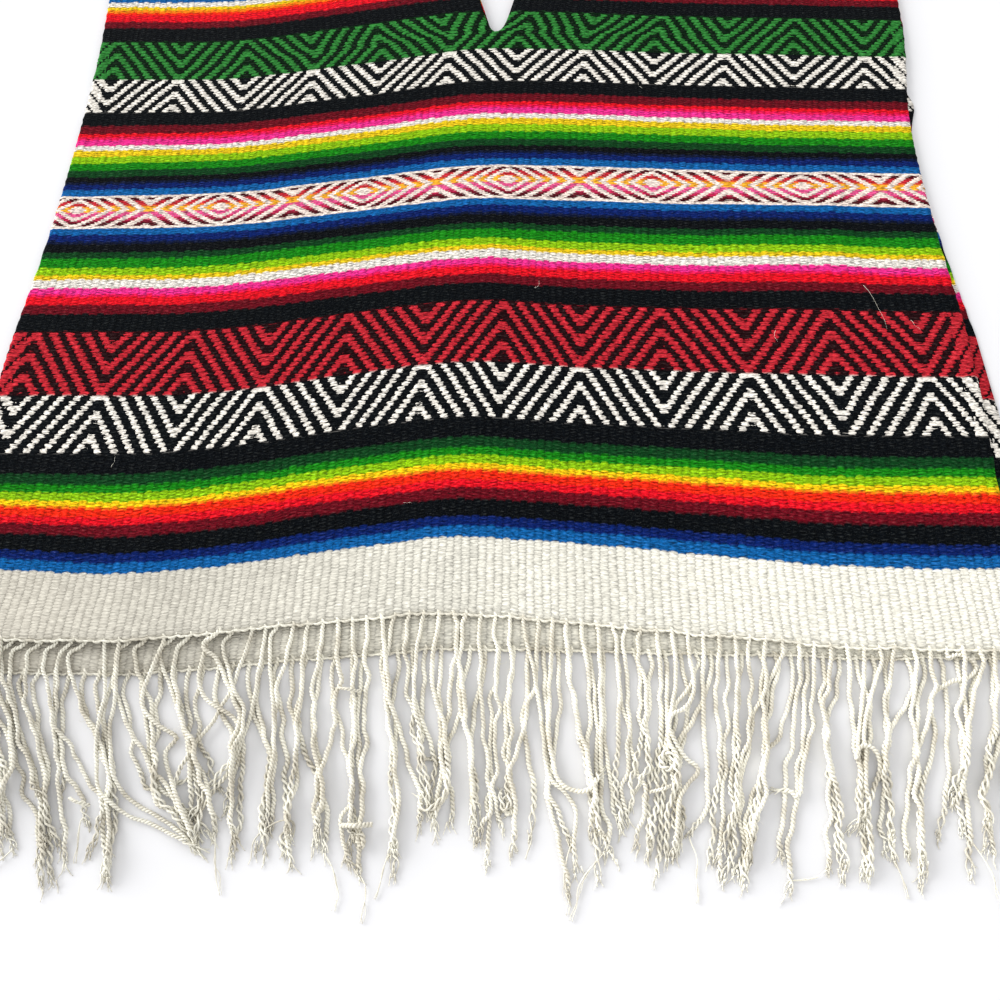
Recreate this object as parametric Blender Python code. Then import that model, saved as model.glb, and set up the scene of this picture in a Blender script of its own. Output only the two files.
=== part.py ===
"""Serape poncho, laid flat.

One striped woollen length with a neck slit is folded at the shoulder, so the
front lies on the back. Both hems end in a fringe of the warp's own cords.
X runs across the cloth, Y from the hems to the shoulder fold, Z up.
The cloth is worked out round the middle of the front hem and moved, at the
end, so that the origin is under the middle of the whole piece.
"""

import bpy
import numpy as np

# Driving sizes, in metres
LOOM_WIDTH = 0.660          # six pattern repeats of 110 mm
WALL = 0.0026               # thickness of the blanket weave
SEAM = 0.0003               # gap left between neighbouring pieces
FRONT_DROP = 0.669          # front hem to shoulder fold, along the warp
BACK_DROP = 0.690           # back hem to shoulder fold
BACK_HEM = -0.021           # the back hem shows below the front hem
FOLD_RADIUS = 0.0028        # of the wall's middle, round the shoulder fold
FOLD_RISE = 0.045           # the front starts to rise this far below the fold
ARC_STEPS = 3               # flats in the quarter turn that each panel makes
COLUMNS = 24                # steps across each panel

# Neck slit, pulled open to a V
SLIT_DEPTH = 0.160          # from the fold down to the tip
SLIT_BLUNT = 0.0052         # half width reached just above the tip
SLIT_BLUNT_RISE = 0.004     # height over which it is reached
SLIT_FLARE = 0.233          # half width gained for each metre above the tip

# Each row is a height on the cloth: where its sides lie and how far its ends
# hang below its middle, because the open neck swings the two halves outwards.
# height, left side, right side, left sag, right sag
FRONT_LINES = np.array((
    (0.000, -0.343, 0.314, 0.0180, 0.0230),
    (0.050, -0.342, 0.315, 0.0235, 0.0220),
    (0.100, -0.341, 0.316, 0.0250, 0.0160),
    (0.200, -0.338, 0.321, 0.0270, 0.0120),
    (0.300, -0.331, 0.321, 0.0290, 0.0100),
    (0.420, -0.327, 0.321, 0.0360, 0.0100),
    (0.510, -0.327, 0.333, 0.0370, 0.0110),
    (0.600, -0.331, 0.338, 0.0380, 0.0120),
    (0.669, -0.334, 0.341, 0.0380, 0.0120),
))
BACK_LINES = np.array((
    (0.000, -0.338, 0.331, 0.0150, 0.0060),
    (0.060, -0.337, 0.331, 0.0180, 0.0070),
    (0.220, -0.333, 0.331, 0.0260, 0.0080),
    (0.320, -0.327, 0.323, 0.0290, 0.0090),
    (0.440, -0.324, 0.322, 0.0350, 0.0100),
    (0.530, -0.325, 0.334, 0.0370, 0.0110),
    (0.620, -0.330, 0.338, 0.0380, 0.0120),
    (0.690, -0.334, 0.341, 0.0380, 0.0120),
))
LEFT_REACH = 0.230          # the left sag is complete this far from the middle
RIGHT_REACH = 0.300

# Heights at which the panels have a line of points, below the fold's turn
FRONT_HEIGHTS = (0.0, 0.015, 0.035, 0.060, 0.100, 0.160, 0.230, 0.300, 0.370, 0.440,
                 0.509, 0.512, 0.517, 0.528, 0.550, 0.590, 0.624, 0.640, 0.655, 0.669)
BACK_HEIGHTS = (0.0, 0.060, 0.130, 0.200, 0.270, 0.340, 0.410, 0.470,
                0.530, 0.533, 0.538, 0.549, 0.571, 0.611, 0.650, 0.690)

# The front hem doesn't lie quite flat: place across, height it stands off
HEM_LIFT = np.array((
    (-0.345, 0.0030), (-0.250, 0.0042), (-0.170, 0.0030), (-0.100, 0.0008),
    (0.000, 0.0004), (0.100, 0.0008), (0.165, 0.0022), (0.200, 0.0008), (0.320, 0.0016),
))
HEM_LIFT_FADE = 0.040       # the lift has died out this far up the cloth

# Soft ridges of slack in the front: place across, width, height
RIDGES = ((-0.180, 0.060, 0.0012), (0.010, 0.040, 0.0010), (0.230, 0.060, 0.0014))

# Fringe
CORDS = 74                  # on each hem
CORD = 0.0034               # width of one cord
CORD_HEIGHT = 0.0028
HEADING = 0.0036            # depth of the twined heading that holds the cords
CORD_APART = 0.0005         # least gap between cords in a gathering
BACK_CORD_LIFT = 0.0003     # the back cords end just above the floor
FRONT_CORD_LIFT = 0.0034    # the front cords lie on the back cords
FRONT_CORD_SHORT = 0.012    # the front cords end this far before the back ones
CORD_UNEVEN = 0.003         # how much longer or shorter a cord is than its neighbours
FRONT_LEVELS = (-0.035, -0.052, -0.069, -0.086, -0.103, -0.140)
BACK_LEVELS = (-0.050, -0.068, -0.086, -0.104, -0.122, -0.154)

# Where the cords draw together, from left to right, in metres round the
# middle of the front hem: x at the hem, x and y of the waist, x and y of the tip
GATHERINGS = np.array((
    (-0.323, -0.306, -0.074, -0.297, -0.140),
    (-0.300, -0.276, -0.082, -0.268, -0.136),
    (-0.285, -0.266, -0.082, -0.252, -0.146),
    (-0.271, -0.254, -0.088, -0.242, -0.146),
    (-0.252, -0.233, -0.100, -0.226, -0.138),
    (-0.234, -0.217, -0.100, -0.209, -0.147),
    (-0.208, -0.194, -0.088, -0.168, -0.136),
    (-0.186, -0.171, -0.088, -0.159, -0.130),
    (-0.161, -0.148, -0.060, -0.147, -0.138),
    (-0.141, -0.129, -0.078, -0.129, -0.136),
    (-0.120, -0.116, -0.082, -0.112, -0.141),
    (-0.104, -0.100, -0.088, -0.098, -0.134),
    (-0.090, -0.087, -0.094, -0.089, -0.136),
    (-0.078, -0.077, -0.116, -0.076, -0.148),
    (-0.068, -0.060, -0.082, -0.058, -0.147),
    (-0.049, -0.046, -0.082, -0.042, -0.130),
    (-0.032, -0.033, -0.082, -0.035, -0.124),
    (-0.016, -0.017, -0.060, -0.012, -0.126),
    (-0.004, -0.005, -0.092, -0.006, -0.140),
    (0.006, 0.004, -0.092, 0.005, -0.138),
    (0.017, 0.016, -0.070, 0.018, -0.124),
    (0.031, 0.027, -0.085, 0.038, -0.147),
    (0.047, 0.053, -0.092, 0.057, -0.143),
    (0.061, 0.063, -0.092, 0.065, -0.134),
    (0.074, 0.072, -0.082, 0.071, -0.126),
    (0.087, 0.081, -0.082, 0.077, -0.137),
    (0.097, 0.089, -0.085, 0.085, -0.143),
    (0.110, 0.099, -0.082, 0.094, -0.138),
    (0.123, 0.115, -0.082, 0.103, -0.143),
    (0.132, 0.124, -0.076, 0.115, -0.149),
    (0.143, 0.133, -0.088, 0.125, -0.149),
    (0.163, 0.148, -0.078, 0.134, -0.147),
    (0.181, 0.165, -0.088, 0.153, -0.147),
    (0.193, 0.186, -0.074, 0.179, -0.147),
    (0.213, 0.202, -0.088, 0.196, -0.150),
    (0.236, 0.218, -0.074, 0.212, -0.138),
    (0.249, 0.234, -0.076, 0.223, -0.150),
    (0.262, 0.246, -0.088, 0.239, -0.151),
    (0.278, 0.261, -0.082, 0.254, -0.143),
    (0.292, 0.271, -0.088, 0.264, -0.139),
    (0.308, 0.290, -0.080, 0.282, -0.146),
))

CREAM = (0.80, 0.78, 0.68, 1.0)
STRIPED = (0.55, 0.06, 0.09, 1.0)


def ease(t):
    """Rise smoothly from 0 to 1 as t goes from 0 to 1."""
    t = np.clip(t, 0.0, 1.0)
    return t * t * (3.0 - 2.0 * t)


def slit_half(height, drop):
    """Half width of the open neck slit at a height on the cloth."""
    above = np.maximum(height - (drop - SLIT_DEPTH), 0.0)
    return SLIT_BLUNT * (1.0 - np.exp(-above / SLIT_BLUNT_RISE)) + SLIT_FLARE * above


def cloth_xy(across, height, lines, drop, side):
    """Plan position of a point of the cloth.

    across is measured on the loom from the middle warp, height from the hem.
    The row's two sides give x; the slit pushes its own side outwards, less and
    less towards the selvedge. y falls from the middle to the sides by the sag.
    """
    left, right, sag_left, sag_right = (
        np.interp(height, lines[:, 0], lines[:, k]) for k in range(1, 5))
    x = left + (right - left) * (across / LOOM_WIDTH + 0.5)
    x = x + side * slit_half(height, drop) * (1.0 - 2.0 * np.abs(across) / LOOM_WIDTH)
    left_share = ease(-across / LEFT_REACH)
    run = np.clip(across / RIGHT_REACH, 0.0, 1.0)
    right_share = 0.5 * (ease(run) + np.sin(0.5 * np.pi * run))
    y = height - sag_left * left_share - sag_right * right_share
    return x, y


def front_rise(across, height, x):
    """How far the front's wall stands above its lowest place on the back."""
    lift = np.interp(x, HEM_LIFT[:, 0], HEM_LIFT[:, 1])
    rise = lift * (1.0 - ease(height / HEM_LIFT_FADE))
    fold = 2.0 * FOLD_RADIUS - WALL
    rise = rise + fold * ease((height - (FRONT_DROP - FOLD_RISE)) / FOLD_RISE)
    flat = ease(height / 0.05) * ease((FRONT_DROP - height) / 0.05)
    for place, width, tall in RIDGES:
        rise = rise + tall * flat * np.exp(-((across - place) / width) ** 2)
    return rise


def thicken(outer, inner, quads):
    """Close a sheet of quads into a wall: outer skin, inner skin and rim."""
    count = len(outer)
    faces = [tuple(q) for q in quads]
    faces += [tuple(i + count for i in reversed(q)) for q in quads]
    edges = {(q[k], q[(k + 1) % 4]) for q in quads for k in range(4)}
    for a, b in sorted(edges):
        if (b, a) not in edges:
            faces.append((b, a, a + count, b + count))
    return np.vstack((outer, inner)), faces


def panel(lines, drop, heights, hem_y, turn):
    """One half of the woven length, with its quarter of the shoulder fold.

    turn is 1 for the front, whose fold runs down, and -1 for the back, whose
    fold runs up. Two halves meet in the middle warp below the slit's tip.
    """
    heights = np.array(heights)
    angles = np.linspace(0.0, 0.5 * np.pi, ARC_STEPS + 1)[1:]
    row_height = np.concatenate((heights, np.full(ARC_STEPS, drop)))
    row_angle = np.concatenate((np.zeros(len(heights)), angles))
    tip_row = int(np.argmin(np.abs(heights - (drop - SLIT_DEPTH))))
    rows = len(row_height)
    half = COLUMNS // 2
    outer, inner, quads = [], [], []
    ids = {}
    for side in (-1, 1):
        across = np.linspace(0.0, 0.5 * LOOM_WIDTH, half + 1)
        if side < 0:
            across = across[::-1]
        across = side * across
        grid = np.zeros((rows, half + 1), dtype=int)
        for r in range(rows):
            angle = row_angle[r]
            x, y = cloth_xy(across, row_height[r], lines, drop, side)
            y = y + hem_y + FOLD_RADIUS * np.sin(angle)
            bend = FOLD_RADIUS * (1.0 - np.cos(angle))
            if turn > 0:
                z = 1.5 * WALL + SEAM + front_rise(across, row_height[r], x) - bend
            else:
                z = np.full_like(x, 0.5 * WALL + bend)
            out_y = 0.5 * WALL * np.sin(angle)
            out_z = 0.5 * WALL * np.cos(angle) * turn
            for c in range(half + 1):
                middle = (side < 0 and c == half) or (side > 0 and c == 0)
                if middle and side > 0 and r <= tip_row:
                    grid[r, c] = ids[r]
                    continue
                grid[r, c] = len(outer)
                if middle:
                    ids[r] = grid[r, c]
                outer.append((x[c], y[c] + out_y, z[c] + out_z))
                inner.append((x[c], y[c] - out_y, z[c] - out_z))
        for r in range(rows - 1):
            for c in range(half):
                quad = (grid[r, c], grid[r, c + 1], grid[r + 1, c + 1], grid[r + 1, c])
                quads.append(quad if turn > 0 else tuple(reversed(quad)))
    return thicken(np.array(outer), np.array(inner), quads)


def hem_line(places, lines, drop, hem_y, front):
    """Points of a panel's hem edge, read along its own straight facets."""
    corners = np.linspace(-0.5 * LOOM_WIDTH, 0.5 * LOOM_WIDTH, COLUMNS + 1)
    x, y = cloth_xy(corners, 0.0, lines, drop, 0.0)
    if front:
        z = 1.5 * WALL + SEAM + front_rise(corners, 0.0, x)
    else:
        z = np.full_like(x, 0.5 * WALL)
    return (np.interp(places, corners, x), np.interp(places, corners, y + hem_y),
            np.interp(places, corners, z))


def keep_apart(x):
    """Push neighbouring cords sideways until each has its own room."""
    least = CORD + CORD_APART
    for _ in range(60):
        short = np.maximum(least - np.diff(x), 0.0)
        x[:-1] -= 0.5 * short
        x[1:] += 0.5 * short
    return x


def cord_routes(root_x, root_y, levels, tip_gain):
    """Stations of every cord: from its root, through its waist, to its tip.

    Each cord belongs to the gathering whose place at the hem is nearest. Cords
    of one gathering lie side by side at the waist and fan a little at the tip.
    All cords turn at the same levels, so that neighbours never cross, and each
    ends at its own place between the last two.
    """
    owner = np.abs(root_x[:, None] - GATHERINGS[None, :, 0]).argmin(axis=1)
    waist_x, waist_y, tip_x, tip_y = (GATHERINGS[owner, k] for k in range(1, 5))
    number = np.arange(len(root_x))
    rank = np.array([number[i] - number[owner == owner[i]].mean() for i in number])
    waist_x = waist_x + rank * (CORD + CORD_APART)
    tip_x = tip_x + rank * (CORD + 3.0 * CORD_APART)
    lines = []
    for level in levels:
        to_waist = ease((root_y - level) / (root_y - waist_y))
        to_tip = ease((waist_y - level) / (waist_y - tip_y))
        x = root_x + (waist_x - root_x) * to_waist + (tip_x - waist_x) * to_tip
        lines.append(keep_apart(x))
    end_y = tip_y + tip_gain + CORD_UNEVEN * np.sin(2.4 * number)
    share = (end_y - levels[-2]) / (levels[-1] - levels[-2])
    end_x = lines[-2] + (lines[-1] - lines[-2]) * share
    return [(x, np.full_like(x, y)) for x, y in zip(lines[:-1], levels)] + [(end_x, end_y)]


def fringe(lines, drop, hem_y, front):
    """The heading along one hem, with a square-ended cord drawn from each root."""
    pitch = LOOM_WIDTH / CORDS
    roots = -0.5 * LOOM_WIDTH + pitch * (np.arange(CORDS) + 0.5)
    places = np.sort(np.concatenate((
        (-0.5 * LOOM_WIDTH, 0.5 * LOOM_WIDTH), roots - 0.5 * CORD, roots + 0.5 * CORD)))
    x, y, z = hem_line(places, lines, drop, hem_y, front)
    near, far = y - SEAM, y - SEAM - HEADING
    low, high = z - 0.5 * WALL, z + 0.5 * WALL
    count = len(places)
    points = [np.column_stack(edge) for edge in
              ((x, near, low), (x, near, high), (x, far, high), (x, far, low))]
    verts = [tuple(p) for edge in points for p in edge]

    def corner(edge, column):
        return edge * count + column

    faces = []
    for c in range(count - 1):
        for edge in range(4):
            after = (edge + 1) % 4
            if edge == 2 and c % 2 == 1:
                continue
            faces.append((corner(edge, c), corner(after, c),
                          corner(after, c + 1), corner(edge, c + 1)))
    faces.append(tuple(corner(e, 0) for e in (3, 2, 1, 0)))
    faces.append(tuple(corner(e, count - 1) for e in (0, 1, 2, 3)))

    first = 2 * np.arange(CORDS) + 1
    root_x = 0.5 * (x[first] + x[first + 1])
    root_y = 0.5 * (far[first] + far[first + 1])
    lift = FRONT_CORD_LIFT if front else BACK_CORD_LIFT
    levels = FRONT_LEVELS if front else BACK_LEVELS
    routes = cord_routes(root_x, root_y, levels, FRONT_CORD_SHORT if front else 0.0)
    for n in range(CORDS):
        c = first[n]
        ring = (corner(2, c), corner(2, c + 1), corner(3, c + 1), corner(3, c))
        for station_x, station_y in routes:
            base = len(verts)
            wide = 0.5 * CORD
            verts += [(station_x[n] - wide, station_y[n], lift + CORD_HEIGHT),
                      (station_x[n] + wide, station_y[n], lift + CORD_HEIGHT),
                      (station_x[n] + wide, station_y[n], lift),
                      (station_x[n] - wide, station_y[n], lift)]
            new = (base, base + 1, base + 2, base + 3)
            for k in range(4):
                m = (k + 1) % 4
                faces.append((ring[m], ring[k], new[k], new[m]))
            ring = new
        faces.append(tuple(reversed(ring)))
    return np.array(verts), faces


def finish(colour_name, colour):
    """A matt woollen finish in one colour."""
    material = bpy.data.materials.new(colour_name)
    material.use_nodes = True
    shader = material.node_tree.nodes["Principled BSDF"]
    shader.inputs["Base Color"].default_value = colour
    shader.inputs["Roughness"].default_value = 0.95
    shader.inputs["Metallic"].default_value = 0.0
    return material


def build():
    """Model the four pieces and set them round the origin."""
    for old in list(bpy.data.objects):
        bpy.data.objects.remove(old, do_unlink=True)
    pieces = {
        "back_panel": panel(BACK_LINES, BACK_DROP, BACK_HEIGHTS, BACK_HEM, -1),
        "front_panel": panel(FRONT_LINES, FRONT_DROP, FRONT_HEIGHTS, 0.0, 1),
        "back_fringe": fringe(BACK_LINES, BACK_DROP, BACK_HEM, False),
        "front_fringe": fringe(FRONT_LINES, FRONT_DROP, 0.0, True),
    }
    colours = {"panel": STRIPED, "fringe": CREAM}
    every = np.vstack([verts for verts, _ in pieces.values()])
    low, high = every.min(axis=0), every.max(axis=0)
    origin = np.array((0.5 * (low[0] + high[0]), 0.5 * (low[1] + high[1]), low[2]))
    for name, (verts, faces) in pieces.items():
        mesh = bpy.data.meshes.new(name)
        mesh.from_pydata((verts - origin).tolist(), [], [tuple(map(int, f)) for f in faces])
        mesh.materials.append(finish(name, colours[name.split("_")[1]]))
        mesh.validate()
        piece = bpy.data.objects.new(name, mesh)
        bpy.context.collection.objects.link(piece)


build()
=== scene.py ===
import math
from functools import partialmethod

import bpy
import numpy as np
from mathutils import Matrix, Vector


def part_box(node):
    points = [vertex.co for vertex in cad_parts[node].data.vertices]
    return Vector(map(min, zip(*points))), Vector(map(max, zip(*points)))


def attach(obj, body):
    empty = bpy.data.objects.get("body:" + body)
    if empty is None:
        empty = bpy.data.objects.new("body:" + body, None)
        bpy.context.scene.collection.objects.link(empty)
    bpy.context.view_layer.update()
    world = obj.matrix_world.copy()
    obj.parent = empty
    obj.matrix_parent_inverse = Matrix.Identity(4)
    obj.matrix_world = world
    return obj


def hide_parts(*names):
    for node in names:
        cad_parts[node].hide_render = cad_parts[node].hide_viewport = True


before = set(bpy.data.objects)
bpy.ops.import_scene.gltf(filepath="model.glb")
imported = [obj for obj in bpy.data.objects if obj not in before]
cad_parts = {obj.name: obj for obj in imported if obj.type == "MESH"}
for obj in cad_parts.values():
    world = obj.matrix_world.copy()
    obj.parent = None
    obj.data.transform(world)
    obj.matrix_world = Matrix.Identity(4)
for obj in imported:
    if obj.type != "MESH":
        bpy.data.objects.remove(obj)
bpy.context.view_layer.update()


# --- Camera -----------------------------------------------------------------
# Stands in front of the fringe and looks down across the laid-out cloth, so
# that the far end of the garment narrows. Heights and distances are measured
# from the middle of the front hem.

FRONT_DROP = 0.669
FOLD_RADIUS = 0.0028
WALL = 0.0026
LEFT_CORNER = -0.343
FOLD_CREST = FRONT_DROP + FOLD_RADIUS + 0.5 * WALL
CAMERA_HEIGHT = 0.572
CAMERA_BEFORE_HEM = 0.208
CAMERA_PITCH = math.radians(63.43)
SQUARE_LENS = 36.0

front_low, front_high = (np.array(corner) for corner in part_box("front_panel"))
hem_middle = np.array((front_low[0] - LEFT_CORNER, front_high[1] - FOLD_CREST, 0.0))

camera_data = bpy.data.cameras.new("camera")
camera_data.lens = SQUARE_LENS
camera_data.sensor_width = SQUARE_LENS
camera = bpy.data.objects.new("camera", camera_data)
camera.location = hem_middle + np.array((0.0, -CAMERA_BEFORE_HEM, CAMERA_HEIGHT))
camera.rotation_euler = (0.5 * math.pi - CAMERA_PITCH, 0.0, 0.0)
bpy.context.collection.objects.link(camera)
bpy.context.scene.camera = camera


# --- Floor and light --------------------------------------------------------
# A plain white table top, lit from the upper left by a low, wide and soft key
# that throws pale shadows to the right and towards the fringe, with even fill.

FLOOR_HALF = 6.0
FLOOR_WHITE = (0.69, 0.69, 0.705, 1.0)
SKY_STRENGTH = 1.10
KEY_TURN = (math.radians(73.0), 0.0, math.radians(-118.0))
KEY_STRENGTH = 4.1
KEY_SPREAD = math.radians(50.0)

floor_mesh = bpy.data.meshes.new("floor")
corners = ((-1, -1), (1, -1), (1, 1), (-1, 1))
floor_mesh.from_pydata([(x * FLOOR_HALF, y * FLOOR_HALF, 0) for x, y in corners],
                       [], [(0, 1, 2, 3)])
floor = bpy.data.objects.new("floor", floor_mesh)
floor_paint = bpy.data.materials.new("white_table")
floor_paint.use_nodes = True
floor_shader = floor_paint.node_tree.nodes["Principled BSDF"]
floor_shader.inputs["Base Color"].default_value = FLOOR_WHITE
floor_shader.inputs["Roughness"].default_value = 0.8
floor_shader.inputs["Specular IOR Level"].default_value = 0.1
floor_mesh.materials.append(floor_paint)
bpy.context.collection.objects.link(floor)

world = bpy.data.worlds.new("studio")
world.use_nodes = True
sky = world.node_tree.nodes["Background"]
sky.inputs["Color"].default_value = (1.0, 1.0, 1.0, 1.0)
sky.inputs["Strength"].default_value = SKY_STRENGTH
bpy.context.scene.world = world

key_data = bpy.data.lights.new("key", "SUN")
key_data.energy = KEY_STRENGTH
key_data.angle = KEY_SPREAD
key = bpy.data.objects.new("key", key_data)
key.rotation_euler = KEY_TURN
bpy.context.collection.objects.link(key)
bpy.context.scene.view_settings.view_transform = "Standard"


# --- Woven cloth ------------------------------------------------------------
# One striped woollen length, 66 cm wide, woven with the weft beaten down over
# paired warps, so that it shows upright ribs of small beads. It is folded at
# the shoulder over itself; the slit for the head lies open as a V.

MM = 1000.0
LOOM_WIDTH = 0.660
CORDS = 74
SEAM = 0.0003
BACK_DROP = 0.690
BACK_HEM = -0.021
FOLD_RISE = 0.045
SLIT_DEPTH = 0.160
SLIT_BLUNT = 0.0052
SLIT_BLUNT_RISE = 0.004
SLIT_FLARE = 0.233
LEFT_REACH = 0.230
RIGHT_REACH = 0.300
HEM_LIFT_FADE = 0.040
RIB = 0.0052
RIB_RELIEF = 0.00022
EDGE_THINNING = 0.35
SELVEDGE_WAVE = 0.00035
SELVEDGE_PACE = (2100.0, 9.0, 31.0)
SLACK_FADE = 0.05
RIB_FADE = 0.01
HAIRSBREADTH = 1e-6
# columns and rows of each half, rows of the fold's turn, and the finer rows
# just above the slit's lower end: how far they reach, their number and crowding
FRONT_GRID = (264, 170)
BACK_GRID = (132, 90)
ARC_STEPS = 8
SLIT_ROWS = (0.030, 12, 1.5)

# in mm: height, left side, right side, left sag, right sag
FRONT_LINES = np.array((
    (0, -343, 314, 18, 23), (50, -342, 315, 23.5, 22), (100, -341, 318, 25, 16),
    (160, -339, 322, 26.2, 13.5), (220, -337, 323, 27.4, 11.5), (300, -331, 320, 29, 10),
    (420, -327, 321, 36, 10), (510, -327, 333, 37, 11), (600, -331, 338, 38, 12),
    (669, -334, 341, 38, 12),
)) / MM
BACK_LINES = np.array((
    (0, -338, 331, 15, 6), (60, -337, 331, 18, 7), (220, -333, 331, 26, 8),
    (320, -327, 323, 29, 9), (430, -324, 321.5, 34, 9.8), (457, -325, 328.5, 35.4, 10.1),
    (484, -325, 323.5, 36, 10.5), (530, -325, 334, 37, 11), (620, -330, 338, 38, 12),
    (690, -334, 341, 38, 12),
)) / MM
# in mm: place across, height that the front hem stands off
HEM_LIFT = np.array((
    (-345, 3), (-250, 4.2), (-170, 3), (-100, 0.8), (0, 0.3), (100, 0.4), (165, 1.6), (200, 0.4),
    (320, 0.4),
)) / MM
# soft ridges of slack in mm: place across, width, height
RIDGES = np.array(((-180, 60, 1.2), (10, 40, 1.0), (230, 60, 1.4))) / MM
# creases in mm: across and height of each end, width, rise
CREASES = np.array((
    (6, 60, 12, 400, 7, 0.7), (-86, 90, -92, 330, 9, -0.6), (-210, 20, -196, 170, 10, 0.8),
    (118, 15, 126, 120, 10, 0.7), (250, 240, 262, 430, 10, 0.8), (-290, 300, -270, 470, 10, 0.7),
    (160, 300, 150, 420, 10, -0.5),
)) / MM
# sideways crowding of the warp in mm: place across, shift low down, shift high up
WARP_SHIFT = np.array((
    (-330, 0, 0), (-258, -0.2, -3), (-202, -1.5, -4), (-147, -4, -5.5), (-92, -6.7, -7.2),
    (-37, -8.2, -6.6), (18, -10.3, -6), (74, -12.5, -6.2), (129, -12, -5), (185, -9.8, -3.8),
    (241, -6, -2.6), (297, -0.4, 0), (330, 0, 0),
)) / MM
WARP_SHIFT_LOW = 0.160
WARP_SHIFT_HIGH = 0.480
# bow of the weft in mm, up positive: height in mm, then the bow at nine places
# spread evenly from BOW_REACH on the left to BOW_REACH on the right
BOW = np.array((
    (0, 0.0, 0.0, 0.0, 0.0, 0.0, 0.0, 0.0, 0.0, 0.0),
    (60, 0.8, -2.8, -3.6, -3.3, -1.0, 0.5, 0.3, -1.2, -0.6),
    (105, -2.2, -3.6, -3.2, -2.6, -0.8, -1.4, -1.2, -3.0, -1.5),
    (190, -0.3, -0.9, -2.5, -1.7, -0.6, -1.2, -0.6, 0.2, 0.4),
    (280, -1.0, -0.8, -1.5, -3.0, -2.0, -2.9, -2.5, 0.0, -0.8),
    (370, 0.8, 2.6, 1.0, -2.2, -0.8, 1.4, 1.4, 0.0, 0.8),
    (490, 0.0, -0.8, -0.4, -3.5, -1.6, 0.2, 0.0, -0.2, 0.0),
    (600, 0.0, 0.0, 0.0, 0.0, 0.0, 0.0, 0.0, 0.0, 0.0),
    (700, 0.0, 0.0, 0.0, 0.0, 0.0, 0.0, 0.0, 0.0, 0.0),
)) / MM
BOW_REACH = 0.300
# unevenness of a hem: how far its scallops hang, the pitch and reach of its
# slow wander, and the height over which both fade
HEM_HANG = 0.0008
HEM_WANDER_PITCH = 0.016
HEM_WANDER = 0.0026
HEM_FADE = 0.007
# fields of random values: size, spread, and where the loom's corner lies
FIELD = 160
FIELD_SPREAD = 0.62
FIELD_CORNER = (80.0, 2.0)
# unevenness of the weave: pitch across, pitch up and seed, then how far it goes
DRIFT = (0.045, 0.110, 1)
DRIFT_UP = 0.0008
WARP_STRAY = (0.011, 0.009, 2)
WARP_STRAY_BY = 0.0018
WEFT_STRAY = (0.0065, 0.018, 3)
WEFT_STRAY_BY = 0.0013
HEM_SEED = 5


def ease(t):
    """Cubic rise from 0 to 1 as t goes from 0 to 1, level at both ends."""
    t = np.clip(t, 0.0, 1.0)
    return t * t * (3.0 - 2.0 * t)


def read_line(table, column, height):
    """Smooth reading of a table's column: a cubic between neighbouring rows
    whose slopes are the mean slopes at those rows."""
    knots = table[:, 0]
    values = table[:, column]
    slopes = np.gradient(values, knots)
    k = np.clip(np.searchsorted(knots, height, side="right") - 1, 0, len(knots) - 2)
    span = knots[k + 1] - knots[k]
    t = (height - knots[k]) / span
    start = (1 + 2 * t) * (1 - t) ** 2 * values[k] + t * (1 - t) ** 2 * span * slopes[k]
    end = t * t * (3 - 2 * t) * values[k + 1] + t * t * (t - 1) * span * slopes[k + 1]
    return start + end


def weft_bow(across, height):
    """How far the weft bows up: each place's reading at this height, shared
    between the two nearest places by an eased share of the way."""
    places = np.linspace(-BOW_REACH, BOW_REACH, BOW.shape[1] - 1)
    total = 0.0
    for k, place in enumerate(places):
        away = np.abs(np.clip(across, -BOW_REACH, BOW_REACH) - place)
        near = 1.0 - away / (places[1] - places[0])
        total = total + ease(near) * read_line(BOW, k + 1, height)
    return total


def cloth_xy(across, height, table, drop, side):
    """Plan position of the cloth at a place across the loom and a height.

    x runs evenly from the left side to the right, and the open slit pushes its
    own side outwards, fading to the selvedge. y is the height less the sag,
    plus the weft's bow.
    """
    left, right, sag_left, sag_right = (read_line(table, k, height) for k in range(1, 5))
    high = np.clip((height - WARP_SHIFT_LOW) / (WARP_SHIFT_HIGH - WARP_SHIFT_LOW), 0.0, 1.0)
    crowding = (1.0 - high) * read_line(WARP_SHIFT, 1, across) + high * read_line(
        WARP_SHIFT, 2, across)
    x = left + (right - left) * ((across + crowding) / LOOM_WIDTH + 0.5)
    above = np.maximum(height - (drop - SLIT_DEPTH), 0.0)
    half = SLIT_BLUNT * (1.0 - np.exp(-above / SLIT_BLUNT_RISE)) + SLIT_FLARE * above
    x = x + side * half * (1.0 - 2.0 * np.abs(across) / LOOM_WIDTH)
    run = np.clip(across / RIGHT_REACH, 0.0, 1.0)
    right_share = 0.5 * (ease(run) + np.sin(0.5 * np.pi * run))
    y = height - sag_left * ease(-across / LEFT_REACH) - sag_right * right_share
    return x, y + weft_bow(across, height) + uneven_hem(across, height)


def crease_rise(across, height):
    """Sum of soft ridges: each is a bell across its line that dies out at the
    line's two ends."""
    total = np.zeros(np.broadcast(across, height).shape)
    for across_a, height_a, across_b, height_b, width, rise in CREASES:
        t = (height - height_a) / (height_b - height_a)
        line = across_a + (across_b - across_a) * t
        total += rise * np.exp(-((across - line) / width) ** 2) * ease(4 * t) * ease(4 - 4 * t)
    return total


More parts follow.
